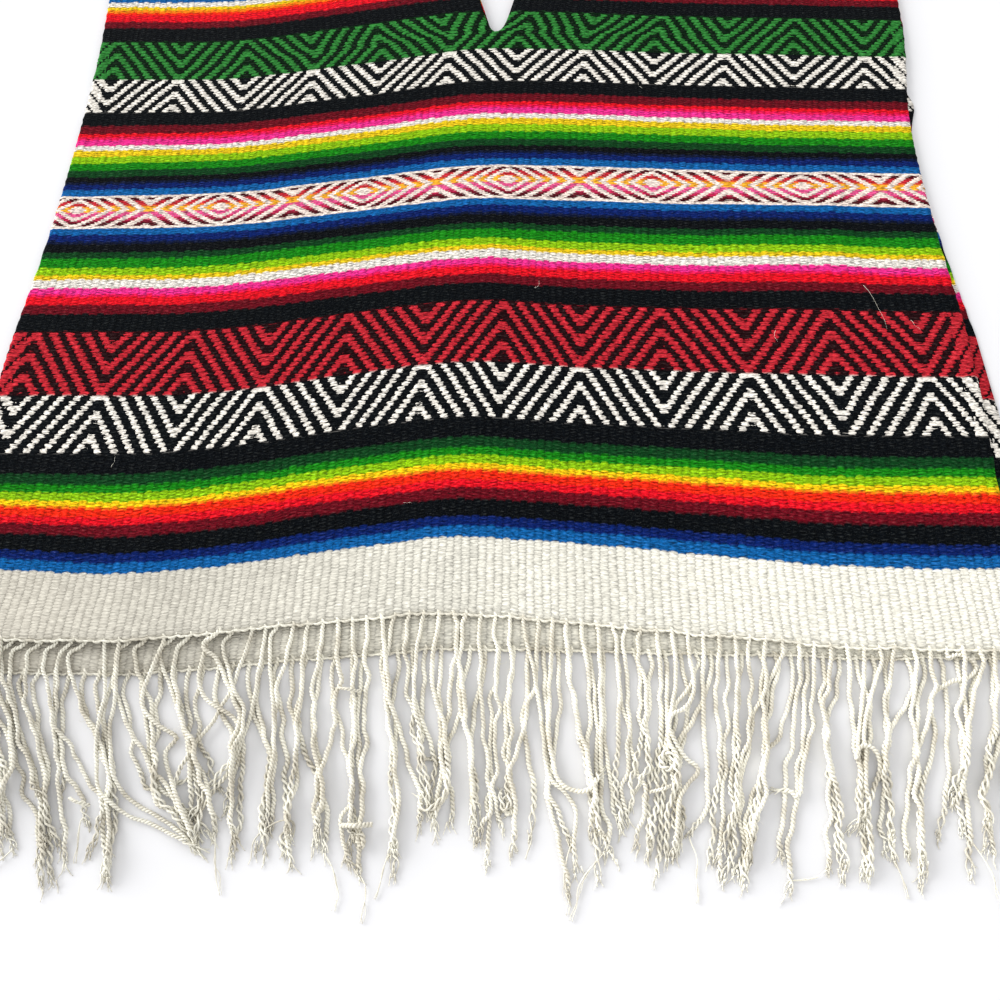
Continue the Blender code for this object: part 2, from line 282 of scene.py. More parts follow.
def front_rise(across, height, x):
    """Height of the front above its lowest place: the hem stands off a little,
    the shoulder fold lifts it, and slack makes low ridges."""
    rise = np.interp(x, HEM_LIFT[:, 0], HEM_LIFT[:, 1]) * (1.0 - ease(height / HEM_LIFT_FADE))
    fold = 2.0 * FOLD_RADIUS - WALL
    rise = rise + fold * ease((height - (FRONT_DROP - FOLD_RISE)) / FOLD_RISE)
    flat = ease(height / SLACK_FADE) * ease((FRONT_DROP - height) / SLACK_FADE)
    for place, width, tall in RIDGES:
        rise = rise + tall * flat * np.exp(-((across - place) / width) ** 2)
    return rise + crease_rise(across, height) * flat


def close_wall(outer, inner, quads):
    """A closed wall: the outer skin, the inner skin turned over, and a quad
    from each open edge of one to the same edge of the other."""
    count = len(outer)
    edges = np.stack((quads, np.roll(quads, -1, axis=1)), axis=-1).reshape(-1, 2)
    codes = edges[:, 0] * count + edges[:, 1]
    reverse = edges[:, 1] * count + edges[:, 0]
    rim = edges[~np.isin(codes, reverse)]
    walls = np.column_stack((rim[:, 1], rim[:, 0], rim[:, 0] + count, rim[:, 1] + count))
    return np.vstack((outer, inner)), np.vstack((quads, quads[:, ::-1] + count, walls))


def mesh_piece(name, verts, faces):
    """A smooth mesh object from an array of points and a list of faces, moved to
    its place on the floor by the middle of the front hem."""
    mesh = bpy.data.meshes.new(name)
    mesh.from_pydata((verts + hem_middle).tolist(), [], faces)
    mesh.polygons.foreach_set("use_smooth", np.full(len(mesh.polygons), True))
    mesh.update()
    piece = bpy.data.objects.new(name, mesh)
    bpy.context.collection.objects.link(piece)
    return piece


def wander(across, height, pitch_across, pitch_up, seed):
    """Smooth uneven field about 0: random values on a grid of the given pitches,
    blended from neighbour to neighbour by an eased share each way."""
    field = FIELD_SPREAD * (np.random.default_rng(seed).random((FIELD, FIELD)) - 0.5)
    a, b = np.broadcast_arrays(across / pitch_across + FIELD_CORNER[0],
                               height / pitch_up + FIELD_CORNER[1])
    i, j = a.astype(int), b.astype(int)
    p, q = ease(a - i), ease(b - j)
    low = field[i, j] * (1.0 - p) + field[i + 1, j] * p
    high = field[i, j + 1] * (1.0 - p) + field[i + 1, j + 1] * p
    return low * (1.0 - q) + high * q


def uneven_hem(across, height):
    """How far a hem rises or hangs by itself: shallow scallops between its
    cords and a slow wander, both dying out upwards."""
    hang = np.abs(np.cos(np.pi * CORDS * (across / LOOM_WIDTH + 0.5)))
    stray = wander(across, 0.0 * height, HEM_WANDER_PITCH, 1.0, HEM_SEED)
    return (HEM_WANDER * stray - HEM_HANG * hang) * np.exp(-height / HEM_FADE)


def cloth_half(table, drop, hem_y, turn, grid):
    """One half of the woven length as points, faces and loom coordinates.

    The wall's middle follows the plan lines; its skins stand half a wall off,
    thinner at the edges, and the outer skin carries the upright ribs. The last
    rows turn a quarter of a circle into the shoulder fold.
    """
    columns, steps = grid
    tip = drop - SLIT_DEPTH
    below = np.linspace(0.0, tip, int(steps * tip / drop))
    reach, count, crowding = SLIT_ROWS
    near = tip + reach * np.linspace(0.0, 1.0, count)[1:] ** crowding
    above = np.linspace(near[-1], drop, int(steps * (drop - near[-1]) / drop))[1:]
    heights = np.concatenate((below, near, above, np.full(ARC_STEPS, drop)))
    angles = np.zeros(len(heights))
    angles[-ARC_STEPS:] = np.linspace(0.0, 0.5 * np.pi, ARC_STEPS + 1)[1:]
    tip_row = len(below) - 1
    rows = len(heights)
    half = columns // 2
    height = heights[:, None]
    angle = angles[:, None]
    skins, looms = [], []
    for side in (-1.0, 1.0):
        across = side * np.linspace(0.0, 0.5 * LOOM_WIDTH, half + 1)[None, :]
        across = across[:, ::-1] if side < 0 else across
        x, y = cloth_xy(across, height, table, drop, side)
        selvedge = np.abs(across) > 0.5 * LOOM_WIDTH - HAIRSBREADTH
        fast, swing, slow = SELVEDGE_PACE
        wave = np.sin(fast * height + swing * np.sin(slow * height))
        x = x + side * selvedge * SELVEDGE_WAVE * wave
        y = y + hem_y + FOLD_RADIUS * np.sin(angle)
        bend = FOLD_RADIUS * (1.0 - np.cos(angle))
        if turn > 0:
            z = 1.5 * WALL + SEAM + front_rise(across, height, x) - bend
        else:
            z = 0.5 * WALL + bend + 0.0 * x
        slit = (np.abs(across) < HAIRSBREADTH) & (height > tip + HAIRSBREADTH)
        hem = height + 0.0 * across < HAIRSBREADTH
        thin = np.where(selvedge | slit | hem, EDGE_THINNING, 1.0)
        rib = RIB_RELIEF * np.cos(2.0 * np.pi * across / RIB) * ease((drop - height) / RIB_FADE)
        thick_out = (0.5 * WALL + (rib if turn > 0 else 0.0)) * thin
        thick_in = 0.5 * WALL * thin
        ny, nz = np.sin(angle), turn * np.cos(angle)
        skins.append((np.stack((x, y + thick_out * ny, z + thick_out * nz), -1),
                      np.stack((x, y - thick_in * ny, z - thick_in * nz), -1)))
        drift = wander(across, height, *DRIFT)
        u = across + WARP_STRAY_BY * wander(across, height, *WARP_STRAY)
        v = height + DRIFT_UP * drift + WEFT_STRAY_BY * wander(across, height, *WEFT_STRAY)
        looms.append(np.stack((u, v, drift), -1))
    ids = np.arange(rows * (half + 1)).reshape(rows, half + 1)
    ids = np.stack((ids, ids + ids.size))
    ids[1, :tip_row + 1, 0] = ids[0, :tip_row + 1, half]
    quads = np.stack((ids[:, :-1, :-1], ids[:, :-1, 1:], ids[:, 1:, 1:], ids[:, 1:, :-1]), -1)
    quads = quads.reshape(-1, 4)
    quads = quads if turn > 0 else quads[:, ::-1]
    outer, inner = (np.vstack([skins[s][k].reshape(-1, 3) for s in (0, 1)]) for k in (0, 1))
    loom = np.vstack([looms[s].reshape(-1, 3) for s in (0, 1)])
    used, quads = np.unique(quads, return_inverse=True)
    quads = quads.reshape(-1, 4)
    verts, faces = close_wall(outer[used], inner[used], quads)
    return verts, faces.tolist(), np.vstack((loom[used], loom[used]))


class Reading:
    """A number or colour that a material works out at each point. Arithmetic on
    it adds Math nodes, so that a pattern is written like a formula."""

    def __init__(self, socket):
        self.socket = socket

    def then(self, operation, *values):
        """The result of one more Math node on this reading and the values."""
        node = self.socket.id_data.nodes.new("ShaderNodeMath")
        node.operation = operation
        for socket, value in zip(node.inputs, (self, *values)):
            feed(socket, value)
        return Reading(node.outputs[0])

    __add__ = __radd__ = partialmethod(then, "ADD")
    __sub__ = partialmethod(then, "SUBTRACT")
    __rsub__ = partialmethod(then, "MULTIPLY_ADD", -1.0)
    __mul__ = __rmul__ = partialmethod(then, "MULTIPLY")
    __truediv__ = partialmethod(then, "DIVIDE")
    __mod__ = partialmethod(then, "MODULO")
    __pow__ = partialmethod(then, "POWER")
    __gt__ = partialmethod(then, "GREATER_THAN")
    __lt__ = partialmethod(then, "LESS_THAN")
    __abs__ = partialmethod(then, "ABSOLUTE")
    floor = partialmethod(then, "FLOOR")
    fract = partialmethod(then, "FRACT")
    sine = partialmethod(then, "SINE")
    cosine = partialmethod(then, "COSINE")
    at_least = partialmethod(then, "MAXIMUM")
    at_most = partialmethod(then, "MINIMUM")


def feed(socket, value):
    """Put a constant or a reading into a socket."""
    if isinstance(value, Reading):
        socket.id_data.links.new(value.socket, socket)
    else:
        socket.default_value = value


def node_reading(tree, kind, output, **sockets):
    """What a new shader node gives, with its sockets fed by name."""
    node = tree.nodes.new("ShaderNode" + kind)
    for name, value in sockets.items():
        feed(node.inputs[name], value)
    return Reading(node.outputs[output])


def own_reading(tree, name, output):
    """A piece's own attribute, as its material reads it."""
    node = tree.nodes.new("ShaderNodeAttribute")
    node.attribute_name = name
    return Reading(node.outputs[output])


def noise(x, y, scale_x, scale_y, detail):
    """Smooth noise over the plane, about 0.5, with its own pitch each way."""
    tree = x.socket.id_data
    place = node_reading(tree, "CombineXYZ", 0, X=x * scale_x, Y=y * scale_y)
    return node_reading(tree, "TexNoise", "Fac", Vector=place, Scale=1.0, Detail=detail)


def dice(x, y):
    """One random value for each whole x and y."""
    tree = x.socket.id_data
    place = node_reading(tree, "CombineXYZ", 0, X=x, Y=y)
    return node_reading(tree, "TexWhiteNoise", "Value", Vector=place)


def mix(share, first, second):
    """Colour between first and second by share."""
    node = share.socket.id_data.nodes.new("ShaderNodeMix")
    node.data_type = "RGBA"
    for socket, value in zip((node.inputs["Factor"], *node.inputs[6:8]), (share, first, second)):
        feed(socket, value)
    return Reading(node.outputs[2])


def shaded(colour, brightness):
    """Colour times a brightness."""
    node = colour.socket.id_data.nodes.new("ShaderNodeVectorMath")
    node.operation = "SCALE"
    feed(node.inputs[0], colour)
    feed(node.inputs["Scale"], brightness)
    return Reading(node.outputs[0])


def ramp(reading, stops):
    """Colour of a reading between stops, each a place and its colour."""
    node = reading.socket.id_data.nodes.new("ShaderNodeValToRGB")
    feed(node.inputs[0], reading)
    elements = node.color_ramp.elements
    elements.remove(elements[1])
    elements[0].position = stops[0][0]
    elements[0].color = stops[0][1]
    for place, colour in stops[1:]:
        elements.new(place).color = colour
    return Reading(node.outputs[0])


def bulge(steps, sharpness):
    """A bump across each whole step, 1 in its middle and 0 at its ends: the
    cosine of half a turn over the step, to the power of sharpness."""
    return ((steps.fract() - 0.5) * math.pi).cosine() ** sharpness


def off_whole(steps):
    """How far steps lie from the nearest whole number."""
    return abs((steps + 0.5).fract() - 0.5)


def from_to(reading, start, gain):
    """A start, plus a gain times the reading."""
    return reading * gain + start


def past(reading, start, gain):
    """A gain times what the reading has beyond a start, and 0 below it."""
    return (reading - start).at_least(0.0) * gain


def wool(name, roughness, gloss):
    """A matt woollen material of one name, and its shader."""
    material = bpy.data.materials.new(name)
    material.use_nodes = True
    shader = material.node_tree.nodes["Principled BSDF"]
    shader.inputs["Roughness"].default_value = roughness
    shader.inputs["Specular IOR Level"].default_value = gloss
    return material, shader


def dress(shader, colour, height, strength, depth):
    """Give a shader its colour and the bump of a height."""
    bump = node_reading(shader.id_data, "Bump", 0, Height=height, Strength=strength,
                        Distance=depth)
    feed(shader.inputs["Normal"], bump)
    feed(shader.inputs["Base Color"], colour)


def dyed(red, green, blue):
    """A yarn's colour: each part of 255 on a screen made into light."""
    parts = [c / 255.0 for c in (red, green, blue)]
    light = [p / 12.92 if p <= 0.04045 else ((p + 0.055) / 1.055) ** 2.4 for p in parts]
    return (*light, 1.0)


# one tint here is no yarn: it is the darker, warmer tint of the painted shade on the border's left
YARN = {yarn: dyed(*parts) for yarn, parts in {
    "cream": (214, 211, 199), "painted_left_shade": (202, 191, 174), "white": (238, 232, 222),
    "azure": (14, 96, 164), "royal": (6, 32, 100), "navy": (8, 20, 52), "black": (5, 9, 14),
    "maroon": (106, 10, 26), "red": (232, 16, 34), "scarlet": (248, 42, 16),
    "orange": (252, 130, 20), "yellow": (252, 204, 18), "gold": (236, 200, 26),
    "lime": (142, 196, 14), "green": (22, 130, 18), "forest": (10, 64, 26),
    "magenta": (240, 48, 142), "rose": (238, 22, 84), "leaf": (46, 126, 52), "pine": (2, 28, 8),
    "scarlet float": (192, 38, 50), "wine": (32, 5, 10), "amber": (250, 176, 46),
    "coral": (232, 92, 44), "crimson": (196, 38, 52), "dark crimson": (78, 14, 24),
    "pink": (232, 84, 142), "raspberry": (198, 38, 82), "claret": (128, 20, 44),
    "blush": (252, 234, 222),
}.items()}

# stripes from the hem upwards: height where each starts in mm, yarn
STRIPES = (
    (0, "cream"), (50, "azure"), (57.8, "royal"), (64.4, "black"), (76.9, "maroon"),
    (84.8, "red"), (90.5, "scarlet"), (96.6, "orange"), (98.3, "yellow"), (102, "lime"),
    (108.2, "green"), (114, "forest"), (121.6, "black"),
    (137.3, "white"), (180.5, "scarlet float"), (233.0, "black"),
    (248.8, "maroon"), (256.8, "red"), (264, "rose"), (266.3, "magenta"), (271.8, "white"),
    (279.3, "gold"), (283.5, "lime"), (290.0, "green"), (298.8, "forest"), (304.4, "black"),
    (312.3, "navy"), (314.8, "royal"), (321.2, "azure"), (327.8, "white"),
    (329.6, "dark crimson"), (333.4, "claret"), (335.4, "raspberry"), (338.4, "pink"),
    (344.0, "amber"), (349.4, "coral"), (350.8, "crimson"), (355.2, "dark crimson"),
    (358.8, "white"),
    (360.4, "azure"), (366.8, "royal"), (372.3, "navy"), (375.0, "black"), (380.4, "forest"),
    (387.6, "green"), (395.4, "lime"), (403.0, "gold"), (409.6, "white"), (414.4, "magenta"),
    (421, "rose"), (424, "red"), (427.8, "maroon"), (436.4, "black"),
    (451.8, "white"), (489, "leaf"), (533, "black"),
    (549.8, "maroon"), (557.5, "red"), (565.5, "scarlet"), (568.5, "orange"), (572, "gold"),
    (576, "white"), (581.5, "azure"), (589, "royal"), (597, "navy"), (601, "black"),
    (613, "forest"), (619, "green"), (625, "lime"), (631, "yellow"), (636, "white"),
    (642, "magenta"), (649, "red"), (655, "maroon"), (661, "black"),
)
# figured bands: start and end height, height of a line's middle on the warp
# where it turns, rise of one line to the next, 1 where the lines climb away
# from that warp and -1 where they fall, half width of a line
FIGURES = (
    (136.1, 180.5, 167.3, 17.8, -1.035, 2.10),
    (180.5, 234.2, 199.5, 17.5, 1.0, 2.70),
    (450.6, 489.0, 474.0, 15.0, -1.0, 2.50),
    (489.0, 534.4, 505.0, 16.4, 1.0, 2.75),
)
DIAMONDS = (327.8, 360.2, 346.5)
DIAMOND_EDGES = (2.2, 1.7)
DIAMOND_ROW = 1.5
DIAMOND_RISES = (6.8, 4.0)
DIAMOND_LINES = 5
DIAMOND_CROWDING = 0.17
DIAMOND_DOT = 1.3
EDGE_REACH = 2.0
DIAMOND_LINE = 2.85
LINE_RUN = 11.4
ENDS_A_LINE = 5
REPEAT = 110.8
TURN_WARP = -258.1
SELVEDGE_PLAIN = 11.0
BLUNT_TURN = 1.8
BEAD = 2.5
BEAD_BULGE = 0.4
RIB_MM = RIB * MM
ROWS_A_RAMP = 15
SOFT_EDGE = 0.45
TOP_STRIPE_END = 700.0
# how a stripe's edge steps: its middle, a rib's bead, its stagger, its own dye
STRIPE_STEP = (0.9, 0.9, 1.2, 0.8)
DYE_RUN = 9.0
SELVEDGE_STRAY = 2.0
# roundness of beads, ribs, floats, the grooves between ribs, a figure's line and
# its swell; gaps between the beads of the undyed border
BEAD_ROUND = 0.6
RIB_ROUND = 0.5
FLOAT_ROUND = 0.8
GROOVE_ROUND = 0.30
FIGURE_ROUND = 0.4
SWELL_ROUND = 0.7
UNDYED_GAPS = 0.55
# fibres: pitch across and up, contrast, how much less on the border
FIBRE_PITCH = (0.26, 0.95)
FIBRE_CONTRAST = (3.2, 1.6)
RAGGED_EDGE = 1.3
FUZZ_PITCH = (1.6, 1.9)
# floats: how much narrower than a line, their swell, width by the selvedge
FLOAT_NARROWER = 0.5
FLOAT_SWELL = 0.8
SELVEDGE_WIDER = 1.9
# a blunt arch closes the top of a falling line: its reach and its height
ARCH_REACH = 5.5
ARCH_HEIGHT = 3.4
NO_ARCH = 999.0
DIAMOND_NARROWER = 0.3
DIAMOND_SWELL = 0.5
DIAMOND_WIDEST = 9.0
DOT_DEPTH = 0.6
# brightness: its floor, then what form and grooves add, which paints shade into the
# gaps between beads, floats and ribs; then what random dye and fibres add
SHADE = (0.60, 0.26, 0.16)
DYE_SHADE = (0.92, 0.16)
FIBRE_SHADE = (0.50, 0.96)
# painted light: the border grows paler to the right, up to a limit, mixed with
# random drift and dye; painted shade makes it darker and warmer to the left
BORDER_PAINTED_LIGHT_AND_TONE = (0.00110, 0.3, 0.07, 0.19)
BORDER_PAINTED_SHADE = -0.0009
# painted highlights on the crests of beads, and real lint: where each begins and
# how much it shows
PAINTED_CREST_HIGHLIGHTS = (0.45, 0.06)
LINT = (0.62, 0.5)
LINT_AND_HIGHLIGHT_COLOUR = (0.60, 0.62, 0.55, 1.0)
WEAVE_RELIEF = 0.0009
BORDER_FLATTER = 0.40


def stripe_colour(height, table):
    """Colour of a height in a table of stripes, by ramps that change within
    SOFT_EDGE of each stripe's start; a long table is shared out over several."""
    colour = None
    for first in range(0, len(table), ROWS_A_RAMP):
        rows = table[first:first + ROWS_A_RAMP + 1]
        start = rows[0][0] + SOFT_EDGE
        end = rows[-1][0] + SOFT_EDGE if len(rows) > ROWS_A_RAMP else TOP_STRIPE_END
        stops = [(0.0, YARN[rows[0][1]])]
        for (_, under), (place, yarn) in zip(rows, rows[1:]):
            for edge, name in ((place - SOFT_EDGE, under), (place + SOFT_EDGE, yarn)):
                stops.append((min((edge - start) / (end - start), 1.0), YARN[name]))
        part = ramp((height - start) / (end - start), stops)
        colour = part if colour is None else mix(height > start, colour, part)
    return colour


def weave_material():
    """Striped weft-faced wool.

    Plain parts are rows of beads, each rib half a bead up from its neighbour.
    In figured bands a float sits one warp end aside of the float below it, so
    that floats climb in lines; the lines turn back at every half repeat.
    """
    material, shader = wool("striped_wool", roughness=0.95, gloss=0.04)
    tree = material.node_tree
    loom = own_reading(tree, "loom", "Vector")
    across, height, drift = (node_reading(tree, "SeparateXYZ", axis, Vector=loom)
                             for axis in "XYZ")
    u = across * MM
    v = height * MM

    # ribs, their beads and the border
    interlock = (v * (2.0 * math.pi / BEAD)).cosine() * (u * (math.pi / RIB_MM)).cosine()
    ribs = (u - interlock * BEAD_BULGE) / RIB_MM
    rib = ribs.floor()
    stagger = abs(rib % 2.0) * 0.5
    beads = v / BEAD + stagger
    rib_dye = dice(rib, (v / DYE_RUN).floor())
    step_middle, step_bead, step_stagger, step_dye = STRIPE_STEP
    scallop = bulge(ribs, 1.0) * step_bead + stagger * step_stagger
    v_edge = v + step_middle - (scallop + rib_dye * step_dye)
    from_edge = 0.5 * LOOM_WIDTH * MM - abs(u)
    selvedge = from_edge + rib_dye * SELVEDGE_STRAY < SELVEDGE_PLAIN
    undyed = v < STRIPES[1][0]
    between_beads = (1.0 - bulge(beads, BEAD_ROUND)) * (1.0 - undyed * UNDYED_GAPS)
    bead_form = bulge(ribs, RIB_ROUND) * (1.0 - between_beads)
    contrast = FIBRE_CONTRAST[0] - undyed * FIBRE_CONTRAST[1]
    fibre = (noise(u, v, *FIBRE_PITCH, 2.0) - 0.5) * contrast + 0.5
    ragged = (fibre - 0.5) * RAGGED_EDGE

    # figured bands
    away = off_whole((u - TURN_WARP) / REPEAT) * REPEAT
    away = away.at_least(BLUNT_TURN).at_most(0.5 * REPEAT - BLUNT_TURN)
    gates = [v > band[0] for band in FIGURES[1:]]

    def banded(values):
        """A value of the figured bands, which steps from band to band."""
        total = values[0]
        for gate, under, over in zip(gates, values, values[1:]):
            total = gate * (over - under) + total
        return total

    lows, highs, places, rises, climbs, half_widths = zip(*FIGURES)
    figured = (v > lows[0]) * (v < highs[1]) + gates[1] * (v < highs[3])
    rows = (v - banded(places)) / banded([rise / ENDS_A_LINE for rise in rises]) + 0.5
    swell = bulge(rows, FLOAT_ROUND)
    phase = rows.floor() / ENDS_A_LINE - away * banded([climb / LINE_RUN for climb in climbs])
    arch_tops = [high - ARCH_HEIGHT if climb < 0 else NO_ARCH
                 for high, climb in zip(highs, climbs)]
    arch = (away < ARCH_REACH) * (v > banded(arch_tops))
    distance = off_whole(phase) * (LINE_RUN - arch * LINE_RUN)
    width = banded([half - FLOAT_NARROWER for half in half_widths]) + ragged
    width = width + (swell * FLOAT_SWELL + selvedge * SELVEDGE_WIDER)
    is_ground = distance > width
    half_run = is_ground * (0.5 * LINE_RUN)
    share = (distance - half_run) / (width - half_run)
    form = (1.0 - share * share).at_least(0.0) ** FIGURE_ROUND * swell ** SWELL_ROUND
    ground = figured * is_ground
    figure_form = figured * form

    # diamond band
    low, high, place = DIAMONDS
    in_diamonds = (v > low) * (v < high)
    near_diamonds = (v > low - EDGE_REACH) * (v < high + EDGE_REACH)
    turned = 1.0 - away / (0.5 * REPEAT)
    rows = abs(v - place) / DIAMOND_ROW + 0.5
    climb = rows.floor() * DIAMOND_ROW / from_to(turned, *DIAMOND_RISES)
    crowding = (turned * math.pi).sine() * DIAMOND_CROWDING
    phase = climb + (turned * DIAMOND_LINES + crowding)
    off = off_whole(phase)
    dot = phase < 0.5
    width = ragged + (DIAMOND_LINE - DIAMOND_NARROWER) + bulge(rows, FLOAT_ROUND) * DIAMOND_SWELL
    width = width.at_most(DIAMOND_WIDEST - dot * (DIAMOND_WIDEST - DIAMOND_DOT))
    margin = (v < low + DIAMOND_EDGES[0]).at_least(v > high - DIAMOND_EDGES[1])
    white = (off * LINE_RUN > width).at_least(margin)
    form = abs((off * (2.0 * math.pi)).cosine()) ** FIGURE_ROUND * bulge(rows, RIB_ROUND)
    figured = figured + near_diamonds
    figure_form = figure_form + near_diamonds * form
    plain = 1.0 - figured

    # colour of the yarns
    colour = stripe_colour(v_edge * plain + v * figured, STRIPES)
    ground_yarn = mix(gates[0] - gates[1], YARN["black"], YARN["wine"])
    ground_yarn = mix(gates[2], ground_yarn, YARN["pine"])
    colour = mix(ground, colour, ground_yarn)
    colour = mix(in_diamonds * dot * DOT_DEPTH, colour, YARN["navy"])
    colour = mix(in_diamonds * white, colour, YARN["blush"])

    # painted shade and light of the yarns, with their random tone, painted highlights and lint
    form = bead_form * plain + figure_form * figured
    grooves = figured + bulge(ribs, GROOVE_ROUND) * plain
    bead_dye = dice(rib, beads.floor())
    # painted shade: darker in the gaps between beads, floats and ribs; dye and fibres add random tone
    shade = form * SHADE[1] + grooves * SHADE[2] + SHADE[0]
    shade = shade * from_to(bead_dye, *DYE_SHADE) * from_to(fibre, *FIBRE_SHADE)
    # painted light: the undyed border grows paler to the right, with random drift and dye tone
    by_place, by_drift, by_dye, most = BORDER_PAINTED_LIGHT_AND_TONE
    painted_light_and_tone = (u * by_place + (drift * by_drift + rib_dye * by_dye)).at_most(most)
    colour = shaded(colour, shade * (undyed * painted_light_and_tone + 1.0))
    # painted shade: the border is mixed towards a darker, warmer tint on its left
    painted_left_shade = (u * BORDER_PAINTED_SHADE).at_least(0.0)
    colour = mix(undyed * painted_left_shade, colour, YARN["painted_left_shade"])
    # painted highlights on bead crests, with real lint from the fuzz noise
    lint_and_highlight = past(form * fibre, *PAINTED_CREST_HIGHLIGHTS) + past(noise(u, v, *FUZZ_PITCH, 1.0), *LINT)
    colour = mix(lint_and_highlight, colour, LINT_AND_HIGHLIGHT_COLOUR)
    relief = (form + fibre) * (1.0 - undyed * BORDER_FLATTER)
    dress(shader, colour, relief, strength=1.0, depth=WEAVE_RELIEF)
    return material


striped_wool = weave_material()
*front_wall, front_loom = cloth_half(FRONT_LINES, FRONT_DROP, 0.0, 1, FRONT_GRID)
front_cloth = mesh_piece("front_cloth", *front_wall)
*back_wall, back_loom = cloth_half(BACK_LINES, BACK_DROP, BACK_HEM, -1, BACK_GRID)
back_cloth = mesh_piece("back_cloth", *back_wall)
for cloth, loom, node in ((front_cloth, front_loom, "front_panel"),
                          (back_cloth, back_loom, "back_panel")):
    attribute = cloth.data.attributes.new("loom", "FLOAT_VECTOR", "POINT")
    attribute.data.foreach_set("vector", loom.ravel())
    cloth.data.materials.append(striped_wool)
    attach(cloth, "root")
    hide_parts(node)


# --- Fringe cords -----------------------------------------------------------
# The warp's own ends, two plies of natural wool twisted to a cord, 74 on each
# hem. They were left to hang, so they lie drawn together in loose gatherings,
# over each other, with the twist slack lower down and their ends frayed.

CORD = 0.0034
HEADING = 0.0036
CORD_RINGS = 150
PLY_SIDES = 4
PLY_RADIUS = 0.00092
PLY_OFFSET = 0.00072
TWIST_LAY = 0.0044
LAY_POINTS = 44
NEST = 0.72
CURVE_STEPS = 12
HEM_READINGS = 60
FRONT_CORD_SHORT = 0.010
FRAY = 0.011
FRAY_SPREAD = 2.4
OPENS_OVER = 0.25
OPEN_SPREAD = 0.55
OPEN_SWAY = 0.0004
SWAY_WAVES = (0.012, 0.022)
# share that an opened ply and a frayed ply lose of their turn, height and width
OPENED = (0.60, 0.35, 0.10)
FRAYED = (0.85, 0.80, 0.62)
FRAY_PARTS = (0.2, 1.0)
# kinks of a cord: strength, shortest and longest wave; where they are full
KINKS = ((1.0, 0.026, 0.040), (0.6, 0.016, 0.024), (0.35, 0.011, 0.015))
KINKS_FULL = 0.03
CORD_KINK = (0.0003, 0.0011)
# share of cords that stray to the next gathering and that are short, how short,
# and scatter of the tips in x and y
STRAY_SHARE = 0.14
SHORT_SHARE = 0.16
SHORT_BY = (0.010, 0.036)
TIP_SCATTER = (0.0022, 0.005)
# a cord's place in its gathering: step from cord to cord at waist and tip,
# scatter of the waist, how far below its table's place it lies, and the spread
WAIST_STEP = 0.0017
TIP_STEP = 0.0030
WAIST_SCATTER = 0.0012
WAIST_LOWER = 0.010
WAIST_SPREAD = 0.014
# lean of a cord below its root, and the stretch of hem where all lean to the left
ROOT_LEAN = 0.0016
HEM_LEAN = -0.009
HEM_LEAN_SPAN = (-0.30, -0.13)
# y of a cord's first places from its root, how far across to its waist the knee
# lies, and scatter of its two middles
ROOT_IN = 0.002
ROOT_OUT = (-0.003, -0.005, -0.009)
KNEE_SHARE = (0.25, 0.5)
KNEE_SCATTER = 0.0022
SHIN_SCATTER = 0.0020
# laying: length of the step down off the hem, passes that rest and that even
HEM_STEP = 0.006
RESTING = 10
EVENING = 3
# thickness of a cord as a share: least, most, gain to the right
SLIM = (0.84, 1.02, 0.12)
FRAY_SHARE = (0.4, 1.4)
SLACK_FROM = (0.35, 1.15)

# in mm: x at the hem, x and y of the waist, x and y of the tip
GATHERINGS = np.array((
    (-323, -306, -74, -297, -140), (-300, -276, -82, -268, -136), (-285, -266, -82, -252, -146),
    (-271, -254, -88, -242, -146), (-256, -241, -86, -231, -121), (-234, -219, -90, -212, -148),
    (-204, -194, -88, -168, -136), (-186, -171, -88, -159, -130), (-161, -148, -60, -147, -138),
    (-141, -129, -78, -129, -136), (-120, -116, -82, -112, -141), (-104, -100, -88, -98, -134),
    (-90, -83, -100, -81, -146), (-78, -77, -112, -75, -150), (-68, -60, -82, -58, -147),
    (-49, -46, -82, -42, -130), (-32, -33, -82, -35, -124), (-16, -17, -60, -12, -126),
    (-4, -5, -92, -6, -140), (6, 4, -92, 5, -138), (17, 16, -70, 18, -124),
    (31, 27, -85, 38, -147), (47, 53, -92, 57, -143), (61, 63, -92, 65, -134),
    (74, 72, -82, 71, -126), (87, 81, -82, 77, -137), (97, 89, -85, 85, -143),
    (110, 99, -82, 94, -138), (123, 115, -82, 103, -143), (132, 124, -76, 115, -149),
    (143, 133, -88, 125, -149), (163, 148, -78, 134, -147), (181, 165, -88, 153, -147),
    (193, 186, -74, 179, -147), (213, 202, -88, 196, -150), (236, 218, -74, 212, -138),
    (249, 234, -76, 223, -150), (262, 246, -88, 239, -151), (278, 261, -82, 254, -143),
    (292, 271, -88, 264, -139), (308, 290, -80, 282, -146),
)) / MM
